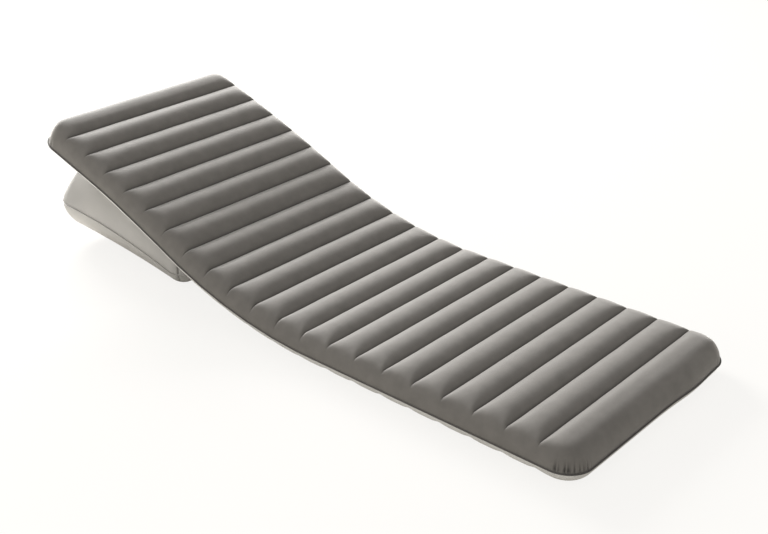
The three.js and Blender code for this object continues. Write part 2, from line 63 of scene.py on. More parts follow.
def spread(parts):
    # one rising array from pieces (from, to, steps), evenly spaced within each
    runs = [np.linspace(a, b, n, endpoint=False) for a, b, n in parts]
    return np.append(np.concatenate(runs), parts[-1][1])


def smooth(value, low, high):
    # rises from 0 at low to 1 at high along a cubic that is level at both ends
    s = np.clip((value - low) / (high - low), 0, 1)
    return s * s * (3 - 2 * s)


def mixed(first, second, share):
    # from the first value to the second as the share goes from 0 to 1
    return first + (second - first) * share


def bell(distance, width, power=2):
    # 1 at no distance, falling as e to the minus (distance over width) to a power
    return np.exp(-(distance / width) ** power)


def arcDrop(offset, halfWidth, depth):
    # sag of a circular arc below its crown
    radius = (halfWidth ** 2 + depth ** 2) / (2 * depth)
    return radius - np.sqrt(np.maximum(radius ** 2 - np.minimum(np.abs(offset), halfWidth) ** 2, 0))


def softLower(a, b, width):
    # the lower of two heights, with the crease between them rounded over a width
    return np.minimum(a, b) - np.maximum(width - np.abs(a - b), 0) ** 2 / (4 * width)


def waves(u, v, seed, count=7, fastest=60):
    # gentle unevenness between -1 and 1: a sum of sines with set directions and phases
    rng = np.random.default_rng(seed)
    total = np.zeros(np.broadcast(u, v).shape)
    for _ in range(count):
        a, b = rng.uniform(-fastest, fastest), rng.uniform(-fastest, fastest)
        phase = rng.uniform(0, 2 * math.pi)
        total = total + np.sin(a * u + b * v + phase)
    return total / count


# meshes from grids

def gridFaces(rows, cols, flip):
    # a quad between each four neighbours, turned over where flip is set
    i = np.arange(rows - 1)[:, None] * cols + np.arange(cols - 1)[None, :]
    quads = np.stack([i, i + 1, i + cols + 1, i + cols], axis=-1).reshape(-1, 4)
    return quads[:, ::-1] if flip else quads


def gridNormals(points):
    # cross product of the steps along the rows and along the columns
    along = np.gradient(points, axis=0)
    across = np.gradient(points, axis=1)
    normals = np.cross(across, along)
    return normals / np.maximum(np.linalg.norm(normals, axis=2, keepdims=True), tiny)


def meshObject(name, points, faces, paintedShade=None, normals=None):
    # a smooth shaded mesh; each point may carry a painted shade tone, which the materials read to darken
    # the colour
    mesh = bpy.data.meshes.new(name)
    mesh.from_pydata(points.reshape(-1, 3).tolist(), [], faces.tolist())
    mesh.polygons.foreach_set("use_smooth", np.ones(len(mesh.polygons), bool))
    if paintedShade is not None:
        attribute = mesh.attributes.new("paintedShade", "FLOAT", "POINT")
        attribute.data.foreach_set("value", np.asarray(paintedShade, np.float32).ravel())
    mesh.update()
    if normals is not None:
        mesh.normals_split_custom_set_from_vertices(normals.reshape(-1, 3).tolist())
    piece = bpy.data.objects.new(name, mesh)
    bpy.context.collection.objects.link(piece)
    return piece


# flat plans of the welded panels, with rounded corners and a lip all round

panel = {
    "lip": 0.004, "lipRows": (1, 0.96, 0.85, 0.075),  # rows on the lip, as shares of its width
    "lipEdge": 0.12,  # share of the lip over which it thins out at its edge
    "widestWall": 0.77,  # a wall takes up at most this share of the half width
}
lipRows = np.array(panel["lipRows"]) * panel["lip"]


def planGrid(plan, stations, columns):
    # stations run along the panel and columns across it. A station below 0 or past the length, and a
    # column below 0, is out on the lip. Other columns go from 0 at the outline to 1 where the wall is
    # over, and to 2 at the centre line. Inset is the distance in from the outline, (dx, dt) the way out
    # to it, and cornerTurn the angle gone round a corner
    length, halfWidth = plan["length"], plan["halfWidth"]
    t = np.clip(stations, 0, length)[:, None]
    rowOut = np.maximum(np.maximum(-stations, stations - length), 0)[:, None]
    atStart = t < length / 2
    ahead = np.where(atStart, -1, 1)
    radius = np.where(atStart, plan["startRadius"], plan["endRadius"])
    short = np.maximum(radius - np.minimum(t, length - t), 0)
    across = np.sqrt(radius ** 2 - short ** 2)
    edge = halfWidth - radius + across
    side, depth = columns
    reach = np.minimum(plan["bulge"](t), panel["widestWall"] * edge)
    onWall, onTop = depth * reach, reach + (depth - 1) * (edge - reach)
    inner = np.where(depth >= 0, np.where(depth <= 1, onWall, onTop), 0)
    out = np.maximum(rowOut, np.maximum(-depth, 0))
    x = side * (edge - inner)
    sideLip, endLip = depth < 0, rowOut > 0
    qx = np.abs(x) - (halfWidth - radius)
    qt = radius - np.minimum(t, length - t) + 0 * x
    outside = np.hypot(np.maximum(qx, 0), np.maximum(qt, 0))
    inCorner = (qx > 0) & (qt > 0)
    dx = np.where(inCorner, qx / np.maximum(outside, tiny), qx >= qt)
    dt = np.where(inCorner, qt / np.maximum(outside, tiny), qx < qt)
    turn = np.where(inCorner, np.arctan2(qt, np.maximum(qx, tiny)), np.where(qt > qx, math.pi / 2, 0))
    return {
        "x": x + side * out * np.where(endLip, 0, across / radius) * sideLip,
        "t": t + out * np.where(endLip, ahead, ahead * short / radius * sideLip),
        "flatX": x, "flatT": t + 0 * x, "out": np.broadcast_to(out, x.shape),
        "inset": np.where(out > 0, 0, np.maximum(radius - outside - np.minimum(np.maximum(qx, qt), 0), 0)),
        "dx": dx * np.sign(x), "dt": dt * ahead, "cornerTurn": turn,
    }


def wallColumns(steps, middle):
    # columns from the left lip to the right one: dense on the wall, where the skin turns up
    wall = 1 - np.cos(np.linspace(0, math.pi / 2, steps))
    depth = np.concatenate([-lipRows, wall, 1 + middle[1:]])
    side = np.concatenate([-np.ones(len(depth)), np.ones(len(depth) - 1)])
    return side[None, :], np.concatenate([depth, depth[:-1][::-1]])[None, :]


def endStations(reach, bulge, steps):
    # stations that crowd towards an end, where the skin turns up
    top = math.acos(max(1 - reach / bulge, 0))
    return bulge * (1 - np.cos(np.linspace(0, top, steps)))


def lipHeight(out, thick):
    # the lip is as thick as its weld, and at its very edge it thins out as the root of the distance left
    return thick * np.sqrt(np.clip((panel["lip"] - out) / (panel["lipEdge"] * panel["lip"]), 0, 1))


# the mat: 21 channels over a bent spine

mat = {
    "channels": 21, "channelWidth": 0.090, "halfWidth": 0.341, "cornerRadius": 0.064,
    "footReach": 0.0585, "headReach": 0.054,  # from the outermost crowns to the ends
    "seatChannels": 9, "lastBend": 14,  # the grooves 9 to 14 bend
    # rise of the back over the whole bend, and its fall at each later groove
    "backAngle": math.radians(24), "droop": math.radians(0.87),
    # heights of seams, crowns and grooves, and the width of the painted shade along the grooves of the
    # bottom sheet
    "seamHeight": 0.0375, "headSeamDrop": 0.012, "headSeamSpan": (0.80, 0.99), "lipThick": 0.0009,
    "crownHeight": 0.095, "crownExtra": 0.0018, "grooveDepth": 0.017,
    "bellyDepth": 0.012, "bellyFlat": 0.016, "bellyFade": 0.014, "bellyShadeWidth": 0.0025,
    # walls: how far in from the seam they reach, and the powers of their curves, where 2 is an ellipse
    "topBulge": 0.065, "footBulge": 0.078, "headBulge": 0.055, "wallPower": 2.0, "wallExtra": 0.0080,
    "footCornerPower": 2.7, "headCornerPower": 2.4, "cornerSpan": (0, 0.035),
    "bottomBulge": 0.054, "headBottomBulge": 0.064, "headBottomSpan": (0.25, 0.6),
    # ribs where they meet the walls
    "endDepthShare": 0.93, "depthSpan": (0.020, 0.085), "endCrestShare": 0.92, "crestSpan": (0.012, 0.090),
    "grooveRound": 0.008, "shoulderRound": 0.014, "shoulderShare": 0.6,
    "roundLoss": 0.8, "roundSpan": (0.055, 0.110),
    "creaseDepth": 0.0012, "creaseWidth": 0.0022, "creasePower": 1.5,
    # tails of the grooves: hooks down the wall in the bend, faint elsewhere
    "tailDepth": 0.0042, "tailWidth": 0.0036, "tailPower": 1.3, "tailRise": (0.30, 0.66),
    "tailInset": (0.018, 0.034), "faintTail": 0.10, "bendStart": (8, 9.5), "bendFinish": (14.2, 16),
    # unevenness, and the wave of the seam across the foot end
    "unevenness": 0.0007, "unevenSeed": 3,
    "footWave": 0.0012, "footSwell": 0.006, "swellAt": 0.164, "swellWidth": 0.080,
    "waveInset": (0, 0.04), "waveTurn": (0.2, 1.2),
    # gathers round the corners
    "gatherDepth": 0.0050, "gatherSpacing": 0.0110, "gatherReach": 0.019, "headGatherShare": 0.45,
    "gatherWander": ((0.0016, 23, 0), (0.0010, 41, 1)),  # size, rate and phase of two sines
    "gatherSharpness": 1.6,
    "gatherStrength": (0.65, 0.35, 17, 2),  # least, swing, rate, and shift from side to side
    "gatherFade": 0.4, "gatherStart": 3,
    # painted shade in the grooves, along the hooks, above the seam and in the gathers, where shade falls
    "grooveShadeSpan": (-0.002, 0.010), "gatherShadeGain": 2.2,
    "hookShadeStrength": 0.8, "hookWidth": 0.0020, "hookRise": (0.42, 0.70), "hookSpan": (0, 0.008),
    "seamShadeStrength": (0.55, 0.35), "seamShadeWidth": (0.0016, 0.0022), "footShadeSpan": (0.010, 0.050),
    # rows and columns of the grids
    "halfChannelRows": ((0, 0.030, 8), (0.030, 0.0415, 6), (0.0415, 0.045, 4)),
    "footRows": 64, "headRows": 48, "topColumns": (34, 18), "bottomColumns": (14, 14),
}
half = mat["channelWidth"] / 2
matLength = mat["footReach"] + (mat["channels"] - 1) * mat["channelWidth"] + mat["headReach"]
bendCount = mat["lastBend"] - mat["seatChannels"] + 1

grooves = np.arange(mat["channels"] + 1)
bend = np.where(grooves < mat["seatChannels"], 0.0,
                np.where(grooves <= mat["lastBend"], mat["backAngle"] / bendCount, -mat["droop"]))
bend[0] = bend[-1] = 0.0
tilt = np.concatenate([[0.0], np.cumsum(bend)[:-1]])  # tilt of channel k; the first value is unused
lean = np.tan(bend / 2)
grooveRise = mat["crownHeight"] - mat["grooveDepth"] - mat["bellyDepth"]
stride = mat["channelWidth"] + grooveRise * (lean[:-1] + lean[1:])
hinges = np.zeros((mat["channels"] + 1, 2))
hinges[0] = (half - mat["seatChannels"] * mat["channelWidth"], mat["bellyDepth"])
headings = np.stack([np.cos(tilt[1:]), np.sin(tilt[1:])], axis=1)
hinges[1:] = hinges[0] + np.cumsum(stride[:, None] * headings, axis=0)


def placeOnMat(station, x, height):
    # flat mat to bent mat: each channel is turned by its tilt about the hinge at its foot side,
    # and its two sides lean so that neighbours meet in the plane that halves their bend
    channel = np.floor((station - mat["footReach"] + half) / mat["channelWidth"]).astype(int) + 1
    channel = np.clip(channel, 1, mat["channels"])
    along = station - mat["footReach"] - (channel - 1) * mat["channelWidth"]
    side = lean[np.where(along < 0, channel - 1, channel)]
    grooveHeight = mat["crownHeight"] - mat["grooveDepth"]
    s = half + grooveRise * lean[channel - 1] + along * (1 + side * (grooveHeight - height) / half)
    rise = height - mat["bellyDepth"]
    c, n = np.cos(tilt[channel]), np.sin(tilt[channel])
    y = hinges[channel - 1, 0] + s * c - rise * n
    z = hinges[channel - 1, 1] + s * n + rise * c
    return np.stack([x, y, z], axis=-1)


halfRows = spread(mat["halfChannelRows"])
channelRows = np.concatenate([halfRows[:-1], mat["channelWidth"] - halfRows[::-1]])
footRows = endStations(mat["footReach"], mat["footBulge"], mat["footRows"])
headRows = matLength - endStations(mat["headReach"], mat["headBulge"], mat["headRows"])[::-1]
crowns = mat["footReach"] + np.arange(mat["channels"]) * mat["channelWidth"]
matStations = np.concatenate([
    -lipRows, footRows[:-1], *[crown + channelRows[:-1] for crown in crowns[:-1]], headRows,
    matLength + lipRows[::-1]])
matPlan = {"length": matLength, "halfWidth": mat["halfWidth"], "startRadius": mat["cornerRadius"],
           "endRadius": mat["cornerRadius"], "bulge": lambda t: mat["topBulge"] + 0 * t}


def matColumns(steps, middleSteps):
    # columns of the mat's sheets, evenly spaced between the walls
    return wallColumns(steps, np.linspace(0, 1, middleSteps))


def grooveOffset(t):
    # distance from the nearest channel crown, the distance left to the groove, and the groove's number
    within = np.clip(t, crowns[0], crowns[-1]) - crowns[0]
    number = np.floor(within / mat["channelWidth"]) + 1
    offset = within - np.round(within / mat["channelWidth"]) * mat["channelWidth"]
    return offset, np.maximum(half - np.abs(offset), 0), number


def seamLevel(t):
    # the edge seam sits lower at the head end
    return mat["seamHeight"] - mat["headSeamDrop"] * smooth(t / matLength, *mat["headSeamSpan"])


def footWave(g):
    # the seam across the foot end isn't quite straight: a bell to one side of the middle
    wave = mat["footWave"] + mat["footSwell"] * bell(g["flatX"] - mat["swellAt"], mat["swellWidth"])
    atFoot = (g["flatT"] < matLength / 2) * (1 - smooth(g["inset"], *mat["waveInset"]))
    return wave * atFoot * smooth(g["cornerTurn"], *mat["waveTurn"])


def cornerGathers(g, height):
    # short gathers that fan out from the seam round each corner: valleys with the section of a sharpened
    # cosine, deepest half way round the corner, gone a little above the seam
    turn = g["cornerTurn"]
    alongArc = turn * mat["cornerRadius"]
    for size, rate, phase in mat["gatherWander"]:
        alongArc = alongArc + size * np.sin(turn * rate + phase)
    valley = (0.5 + 0.5 * np.cos(2 * math.pi * alongArc / mat["gatherSpacing"])) ** mat["gatherSharpness"]
    least, swing, rate, shift = mat["gatherStrength"]
    strength = least + swing * np.sin(turn * rate + shift * np.sign(g["x"]))
    roundCorner = np.sin(2 * np.clip(turn, 0, math.pi / 2)) ** mat["gatherFade"]
    endShare = np.where(g["flatT"] < matLength / 2, 1.0, mat["headGatherShare"])
    depth = mat["gatherDepth"] * valley * strength * roundCorner * endShare
    up = height / mat["gatherReach"]
    return depth * bell(up, 1) * np.minimum(up * mat["gatherStart"], 1)


def topWall(g):
    # the wall is an ellipse from the seam to a little over the crowns. Round a corner its depth goes from
    # the side's to the end's, and further in the corner is the power sum of the two. Gives the share of
    # the way up, the height of the whole wall, and the outward and upward parts of its normal
    atFoot = g["flatT"] < matLength / 2
    endDepth = np.where(atFoot, mat["footBulge"], mat["headBulge"])
    depth = mixed(mat["topBulge"], endDepth, smooth(g["cornerTurn"], 0, math.pi / 2))
    u = np.clip(1 - g["inset"] / depth, 0, 1)
    fromSide = np.clip(1 - (mat["halfWidth"] - np.abs(g["flatX"])) / mat["topBulge"], 0, 1)
    fromEnd = np.clip(1 - np.minimum(g["flatT"], matLength - g["flatT"]) / endDepth, 0, 1)
    power = np.where(atFoot, mat["footCornerPower"], mat["headCornerPower"])
    corner = np.minimum((fromSide ** power + fromEnd ** power) ** (1 / power), 1)
    u = mixed(u, corner, smooth(g["inset"], *mat["cornerSpan"]))
    s = (1 - u ** mat["wallPower"]) ** (1 / mat["wallPower"])
    rise = mat["crownHeight"] + mat["wallExtra"] - seamLevel(g["flatT"])
    norm = np.hypot(rise * u, depth * s)
    return s, rise, rise * u / norm, depth * s / norm


def ribLevel(g, offset, toGroove):
    # circular arcs from groove to groove. Near the outline the grooves are shallower, near the sides the
    # crests are lower, and a narrow dip marks each weld
    depthShare = mixed(mat["endDepthShare"], 1, smooth(g["inset"], *mat["depthSpan"]))
    fromSide = mat["halfWidth"] - np.abs(g["flatX"])
    crestShare = mixed(mat["endCrestShare"], 1, smooth(fromSide, *mat["crestSpan"]))
    arc = mat["grooveDepth"] + mat["crownExtra"] - arcDrop(offset, half, mat["grooveDepth"])
    level = mat["crownHeight"] - depthShare * mat["grooveDepth"] + (crestShare - 1 + depthShare) * arc
    return level - mat["creaseDepth"] * bell(toGroove, mat["creaseWidth"], mat["creasePower"])


def topSheetSurface():
    # the lower of wall and ribs is the skin, so each groove runs level and ends in a point on the wall. It
    # is then pressed in along its normal by the tails of the grooves, the gathers and the unevenness
    g = planGrid(matPlan, matStations, matColumns(*mat["topColumns"]))
    seam = seamLevel(g["flatT"])
    s, rise, outward, upward = topWall(g)
    offset, toGroove, number = grooveOffset(g["flatT"])
    wall, ribs = seam + rise * s, ribLevel(g, offset, toGroove)
    shoulder = smooth(toGroove, 0, mat["shoulderShare"] * half)
    width = mixed(mat["grooveRound"], mat["shoulderRound"], shoulder)
    h = softLower(wall, ribs, width * (1 - mat["roundLoss"] * smooth(g["inset"], *mat["roundSpan"])))
    inBend = smooth(number, *mat["bendStart"]) * (1 - smooth(number, *mat["bendFinish"]))
    tail = mat["tailDepth"] * bell(toGroove, mat["tailWidth"], mat["tailPower"])
    tail = tail * smooth(s, *mat["tailRise"])
    tail = tail * (1 - smooth(g["inset"], *mat["tailInset"]))
    gathers = cornerGathers(g, s * rise)
    uneven = mat["unevenness"] * waves(g["flatT"], g["flatX"], mat["unevenSeed"]) * s
    press = tail * (mat["faintTail"] * (1 - inBend) + inBend) + gathers - uneven
    x = g["x"] - press * outward * g["dx"]
    t = g["t"] - press * outward * g["dt"] - footWave(g)
    h = h - press * upward + mat["lipThick"] * (1 - s)
    h = np.where(g["out"] > 0, seam + lipHeight(g["out"], mat["lipThick"]), h)

    # painted shade: the colour is darkened in the grooves, along the hooks, in a band above the seam that
    # is wider across the foot end, and in the gathers
    grooveShade = bell(toGroove, mat["creaseWidth"], 1) * smooth(wall - ribs, *mat["grooveShadeSpan"])
    hookShade = mat["hookShadeStrength"] * bell(toGroove, mat["hookWidth"]) * smooth(s, *mat["hookRise"])
    hookShade = hookShade * (1 - smooth(wall - ribs, *mat["hookSpan"])) * inBend
    atFoot = smooth(mat["footReach"] - g["flatT"], *mat["footShadeSpan"])
    (tone, footTone), (toneWidth, footToneWidth) = mat["seamShadeStrength"], mat["seamShadeWidth"]
    seamShade = (tone + footTone * atFoot) * bell(s * rise, toneWidth + footToneWidth * atFoot)
    gatherShade = np.minimum(mat["gatherShadeGain"] * gathers / mat["gatherDepth"], 1)
    paintedShade = np.maximum(np.maximum(grooveShade, hookShade), np.maximum(seamShade, gatherShade))
    return placeOnMat(t, x, h), paintedShade


def bottomSheetSurface():
    # the same outline, bulging down to the floor as a quarter of an ellipse: flat strips under the crowns,
    # shallow arcs to the grooves
    g = planGrid(matPlan, matStations, matColumns(*mat["bottomColumns"]))
    offset, toGroove = grooveOffset(g["flatT"])[:2]
    past = np.maximum(np.abs(offset) - mat["bellyFlat"], 0)
    fade = smooth(g["inset"], 0, mat["bellyFade"])
    drop = arcDrop(past, half - mat["bellyFlat"], mat["bellyDepth"]) * fade
    towardsHead = smooth(g["flatT"] / matLength, *mat["headBottomSpan"])
    bulge = mixed(mat["bottomBulge"], mat["headBottomBulge"], towardsHead)
    share = np.sqrt(1 - np.clip(1 - g["inset"] / bulge, 0, 1) ** 2)
    seam = seamLevel(g["flatT"])
    h = seam - (seam - drop) * share - mat["lipThick"] * (1 - share)
    h = np.where(g["out"] > 0, seam - lipHeight(g["out"], mat["lipThick"]), h)
    # the second value is painted shade, darkening the colour along the grooves of the bottom sheet
    return placeOnMat(g["t"] - footWave(g), g["x"], h), bell(toGroove, mat["bellyShadeWidth"], 1) * fade


# the skin round the two valves: level next to the valve, with a hole under it

mattressValve = {
    "centre": (0.334378, -0.54, 0.057022), "axis": (0.943589, 0, 0.331119), "up": (0.331119, 0, -0.943589),
    "hole": 0.0145, "levelTo": 0.0195, "fadeTo": 0.036,
}
wedgeValve = {
    "centre": (0, 1.146853, 0.143476), "axis": (0, 0.989154, 0.146884), "up": (0, 0.146884, -0.989154),
    "hole": 0.0075, "levelTo": 0.013, "fadeTo": 0.030,
}
# turn holds a valve's own directions: across, up and along its axis
for valve in (mattressValve, wedgeValve):
    valve["turn"] = np.stack([np.cross(valve["up"], valve["axis"]), valve["up"], valve["axis"]], axis=1)
levelDepth, holeDepth = 0.05, 0.03  # skin further than this along the axis belongs to another wall
leastArea = 1e-11  # faces under this have no use: they come from columns that meet at an end


def levelledRound(points, valve):
    # points near a valve move along its axis to the plane through its centre
    local = (points - valve["centre"]) @ valve["turn"]
    away = np.hypot(local[..., 0], local[..., 1])
    near = (1 - smooth(away, valve["levelTo"], valve["fadeTo"])) * (np.abs(local[..., 2]) < levelDepth)
    local[..., 2] = local[..., 2] * (1 - near)
    return valve["centre"] + local @ valve["turn"].T


def sheetPiece(name, surface, normals, paintedShade, rows, flip, valve=None):
    # the rows of a surface as a piece of its own, open under a valve
    part = slice(rows[0], rows[1] + 1)
    points = surface[part]
    faces = gridFaces(points.shape[0], points.shape[1], flip)
    flat = points.reshape(-1, 3)
    if valve:
        axis = valve["turn"][:, 2]
        offset = flat - valve["centre"]
        depth = offset @ axis
        away = np.linalg.norm(offset - depth[:, None] * axis, axis=1)
        inside = (away < valve["hole"]) & (np.abs(depth) < holeDepth)
        faces = faces[~inside[faces].any(axis=1)]
    corners = flat[faces]
    area = np.linalg.norm(np.cross(corners[:, 2] - corners[:, 0], corners[:, 3] - corners[:, 1]), axis=1)
    return meshObject(name, points, faces[area > leastArea], paintedShade[part], normals[part])


# pieces of the mat: one rides the seat, one rides the back, and one lies at each bend between them

bendNames = [f"bend_{k}" for k in range(mat["seatChannels"] + 1, mat["lastBend"] + 1)]
bodyNames = ["seat"] + bendNames + ["back"]


def rowOf(station):
    # the row of the grid that is nearest to a station
    return int(np.argmin(np.abs(matStations - station)))


def rideBetween(piece):
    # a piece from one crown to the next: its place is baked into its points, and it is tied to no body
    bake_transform(piece)


def matPieces(kind, surface, paintedShade, flip):
    # one piece on the seat, one at each bend and one on the back, each for the sheets of its bodies
    normals = gridNormals(surface) * (-1 if flip else 1)
    nodes = [f"{body}_{kind}_sheet" for body in bodyNames]
    seatEnd, backStart = rowOf(crowns[mat["seatChannels"] - 1]), rowOf(crowns[mat["lastBend"]])
    valve = mattressValve if kind == "top" else None
    seat = sheetPiece(f"seat_{kind}", surface, normals, paintedShade, (0, seatEnd), flip, valve)
    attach(seat, "seat")
    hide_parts(nodes[0])
    pieces = [seat]
    for groove in range(mat["seatChannels"], mat["lastBend"] + 1):
        rows = rowOf(crowns[groove - 1]), rowOf(crowns[groove])
        piece = sheetPiece(f"bend_{groove}_{kind}", surface, normals, paintedShade, rows, flip)
        rideBetween(piece)
        k = groove - mat["seatChannels"]
        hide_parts(nodes[k], nodes[k + 1])
        pieces.append(piece)
    back = sheetPiece(f"back_{kind}", surface, normals, paintedShade, (backStart, len(matStations) - 1), flip)
    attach(back, "back")
    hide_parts(nodes[-1])
    pieces.append(back)
    return pieces


topSurface, topPaintedShade = topSheetSurface()
topPieces = matPieces("top", levelledRound(topSurface, mattressValve), topPaintedShade, False)
bottomSurface, bottomPaintedShade = bottomSheetSurface()
bottomPieces = matPieces("bottom", bottomSurface, bottomPaintedShade, True)
print("mat:", topSurface.shape, bottomSurface.shape)


# the wedge under the backrest: its top follows the underside of the mat

wedge = {
    "halfWidth": 0.286, "frontRadius": 0.050, "backRadius": 0.072, "gap": 0.0003, "lipThick": 0.0008,
    "frontInset": 0.060, "backReach": 0.056,  # from the last bend, and past the mat's head end
    "frontSeam": 0.042, "backSeam": 0.127,
    "keep": 0.14,  # share of the height that would be left if it were let down
    # depth of the walls from front to back, as shares of the height
    "upperDepth": (0.45, 0.66), "lowerDepth": (0.6, 0.6), "depthSpan": (0.3, 1), "frontDepthAt": 0.06,
    "backEase": 0.75, "easeSpan": (0.55, 1),
    # upright folds in the corners, each at a turn round the corner and with a width, and a short one
    # across each front fold
    "foldDepth": 0.0050, "frontFold": (0.62, 0.05), "backFold": (0.70, 0.045),
    "foldStart": (0.0, 0.03), "foldEnd": (0.75, 0.98), "foldPull": 0.5,
    "upperBackFold": 0.30, "lowerBackFold": 0.55,
    "crossShare": 0.4, "crossLevel": (0.22, 0.05), "crossWidth": 0.20,
    # short gathers at the seam round the corners
    "gatherDepth": 0.0025, "gatherSpacing": 0.17, "gatherShift": 0.8, "gatherSharpness": 5,
    "gatherStart": (0.0, 0.02), "gatherReach": 0.10, "frontGather": 0.3, "backGather": 0.8,
    # rows and columns of the grid
    "frontRows": 60, "middleRows": 26, "backTurns": ((0, 0.24, 20), (0.24, math.pi / 2, 56)),
    "wallColumns": 28, "middleColumns": 22,
}
undersideStations = np.append(crowns[mat["seatChannels"] - 1:-1] + half, matLength)
underside = placeOnMat(undersideStations, 0 * undersideStations, 0 * undersideStations)
wedgeFront = hinges[mat["lastBend"], 0] + wedge["frontInset"]
wedgeLength = underside[-1, 1] + wedge["backReach"] - wedgeFront


def wedgeTop(y):
    # straight from one groove of the underside to the next, and straight on past the head end
    inner = np.interp(y, underside[:, 1], underside[:, 2])
    slope = (underside[-1, 2] - underside[-2, 2]) / (underside[-1, 1] - underside[-2, 1])
    past = underside[-1, 2] + slope * (y - underside[-1, 1])
    return np.where(y > underside[-1, 1], past, inner) - wedge["gap"]


def wedgeFolds(g, t, s, side):
    # an upright fold in each front corner, a faint one in each back corner, both bells across their width,
    # and short gathers at the seam there with the section of a sharpened cosine
    atFront = t < wedgeLength / 2
    onWall = g["out"] == 0
    foldTurn = np.where(atFront, wedge["frontFold"][0], wedge["backFold"][0])
    width = np.where(atFront, wedge["frontFold"][1], wedge["backFold"][1])
    reach = smooth(s, *wedge["foldStart"]) * (1 - smooth(s, *wedge["foldEnd"]))
    backFold = wedge["upperBackFold"] if side > 0 else wedge["lowerBackFold"]
    fold = bell(g["cornerTurn"] - foldTurn, width) * reach * np.where(atFront, 1.0, backFold)
    level, tall = wedge["crossLevel"]
    cross = bell(s - level, tall) * bell(g["cornerTurn"] - foldTurn, wedge["crossWidth"]) * atFront
    phase = 2 * math.pi * g["cornerTurn"] / wedge["gatherSpacing"] + wedge["gatherShift"] * side
    fan = (0.5 + 0.5 * np.cos(phase)) ** wedge["gatherSharpness"]
    endShare = np.where(atFront, wedge["frontGather"], wedge["backGather"])
    gather = fan * np.sin(2 * g["cornerTurn"]) ** 2 * smooth(s, *wedge["gatherStart"])
    gather = gather * bell(s, wedge["gatherReach"]) * endShare
    return np.clip(fold + wedge["crossShare"] * cross, 0, 1) * onWall, gather * onWall


def wedgeSurface(side):
    # a panel whose wall is part of an ellipse, as deep as a share of the wedge's height at each station
    low, high = wedge["upperDepth"] if side > 0 else wedge["lowerDepth"]

    def depthAt(t):
        # the share goes from low to high towards the back
        return mixed(low, high, smooth(t / wedgeLength, *wedge["depthSpan"])) * wedgeTop(wedgeFront + t)

    front, back = depthAt(wedge["frontDepthAt"]), depthAt(wedgeLength)
    frontRows = endStations(front, front, wedge["frontRows"])
    backRows = wedgeLength - back * (1 - np.cos(spread(wedge["backTurns"])))[::-1]
    middle = np.linspace(frontRows[-1], backRows[0], wedge["middleRows"])[1:-1]
    stations = np.concatenate([-lipRows, frontRows, middle, backRows, wedgeLength + lipRows[::-1]])
    middleColumns = np.sin(np.linspace(0, math.pi / 2, wedge["middleColumns"]))
    columns = wallColumns(wedge["wallColumns"], middleColumns)
    plan = {"length": wedgeLength, "halfWidth": wedge["halfWidth"], "startRadius": wedge["frontRadius"],
            "endRadius": wedge["backRadius"], "bulge": depthAt}
    g = planGrid(plan, stations, columns)
    t = g["flatT"]
    seam = mixed(wedge["backSeam"], wedge["frontSeam"], (1 - t / wedgeLength) ** 2)
    power = 2 - wedge["backEase"] * smooth(t / wedgeLength, *wedge["easeSpan"]) if side > 0 else 2
    s = (1 - np.clip(1 - g["inset"] / depthAt(t), 0, 1) ** power) ** (1 / power)
    h = seam + (wedgeTop(wedgeFront + t) - seam) * s if side > 0 else seam * (1 - s)
    h = h + side * wedge["lipThick"] * (1 - s)
    h = np.where(g["out"] > 0, seam + side * lipHeight(g["out"], wedge["lipThick"]), h)
    fold, gather = wedgeFolds(g, t, s, side)
    press = wedge["foldDepth"] * fold + wedge["gatherDepth"] * gather
    x = g["x"] - press * (1 - s) * g["dx"]
    y = wedgeFront + g["t"] - press * (1 - s) * g["dt"]
    h = h - side * press * s * wedge["foldPull"]
    # the fold and gather shares also go out as painted shade, which darkens the colour in the folds and
    # gathers
    return np.stack([x, y, h], axis=-1), np.maximum(fold, gather)


def letDown(piece):
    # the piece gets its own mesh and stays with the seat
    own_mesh(piece)
    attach(piece, "seat")


wedgePieces, tiePieces = [], []
for side, name, valve in ((1, "upper", wedgeValve), (-1, "lower", None)):
    surface, paintedShade = wedgeSurface(side)
    if valve:
        surface = levelledRound(surface, valve)
    rows, normals = (0, surface.shape[0] - 1), gridNormals(surface) * side
    piece = sheetPiece(f"wedge_{name}", surface, normals, paintedShade, rows, side < 0, valve)
    letDown(piece)
    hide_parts(f"wedge_{name}_shell")
    wedgePieces.append(piece)
for name in ("wedge_tie_1", "wedge_tie_2", "wedge_tie_3"):  # the ties inside are copies that stay with the seat
    tie = bpy.data.objects.new(name.replace("wedge_", "soft_"), frame["nodes"][name].data.copy())
    bpy.context.collection.objects.link(tie)
    letDown(tie)
    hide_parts(name)
    tiePieces.append(tie)
print("wedge:", surface.shape)


# the boss that the mattress valve is welded to

boss = {
    "inner": 0.0133, "outer": 0.0190, "top": 0.0015, "foot": -0.0020,
    "edge": 0.0007, "edgeSteps": 5, "sides": 96,  # rounding of the edges
}


def roundedSection(ring):
    # section of a ring with its four edges rounded: (radius, level) pairs, anticlockwise
    r = ring["edge"]
    inner, outer, low, high = ring["inner"] + r, ring["outer"] - r, ring["foot"] + r, ring["top"] - r
    x, z = np.array([outer, outer, inner, inner])[:, None], np.array([low, high, high, low])[:, None]
    quarter = np.linspace(0, math.pi / 2, ring["edgeSteps"])
    turn = math.pi / 2 * np.array([-1, 0, 1, 2])[:, None] + quarter
    return np.stack([x + r * np.cos(turn), z + r * np.sin(turn)], axis=-1).reshape(-1, 2)


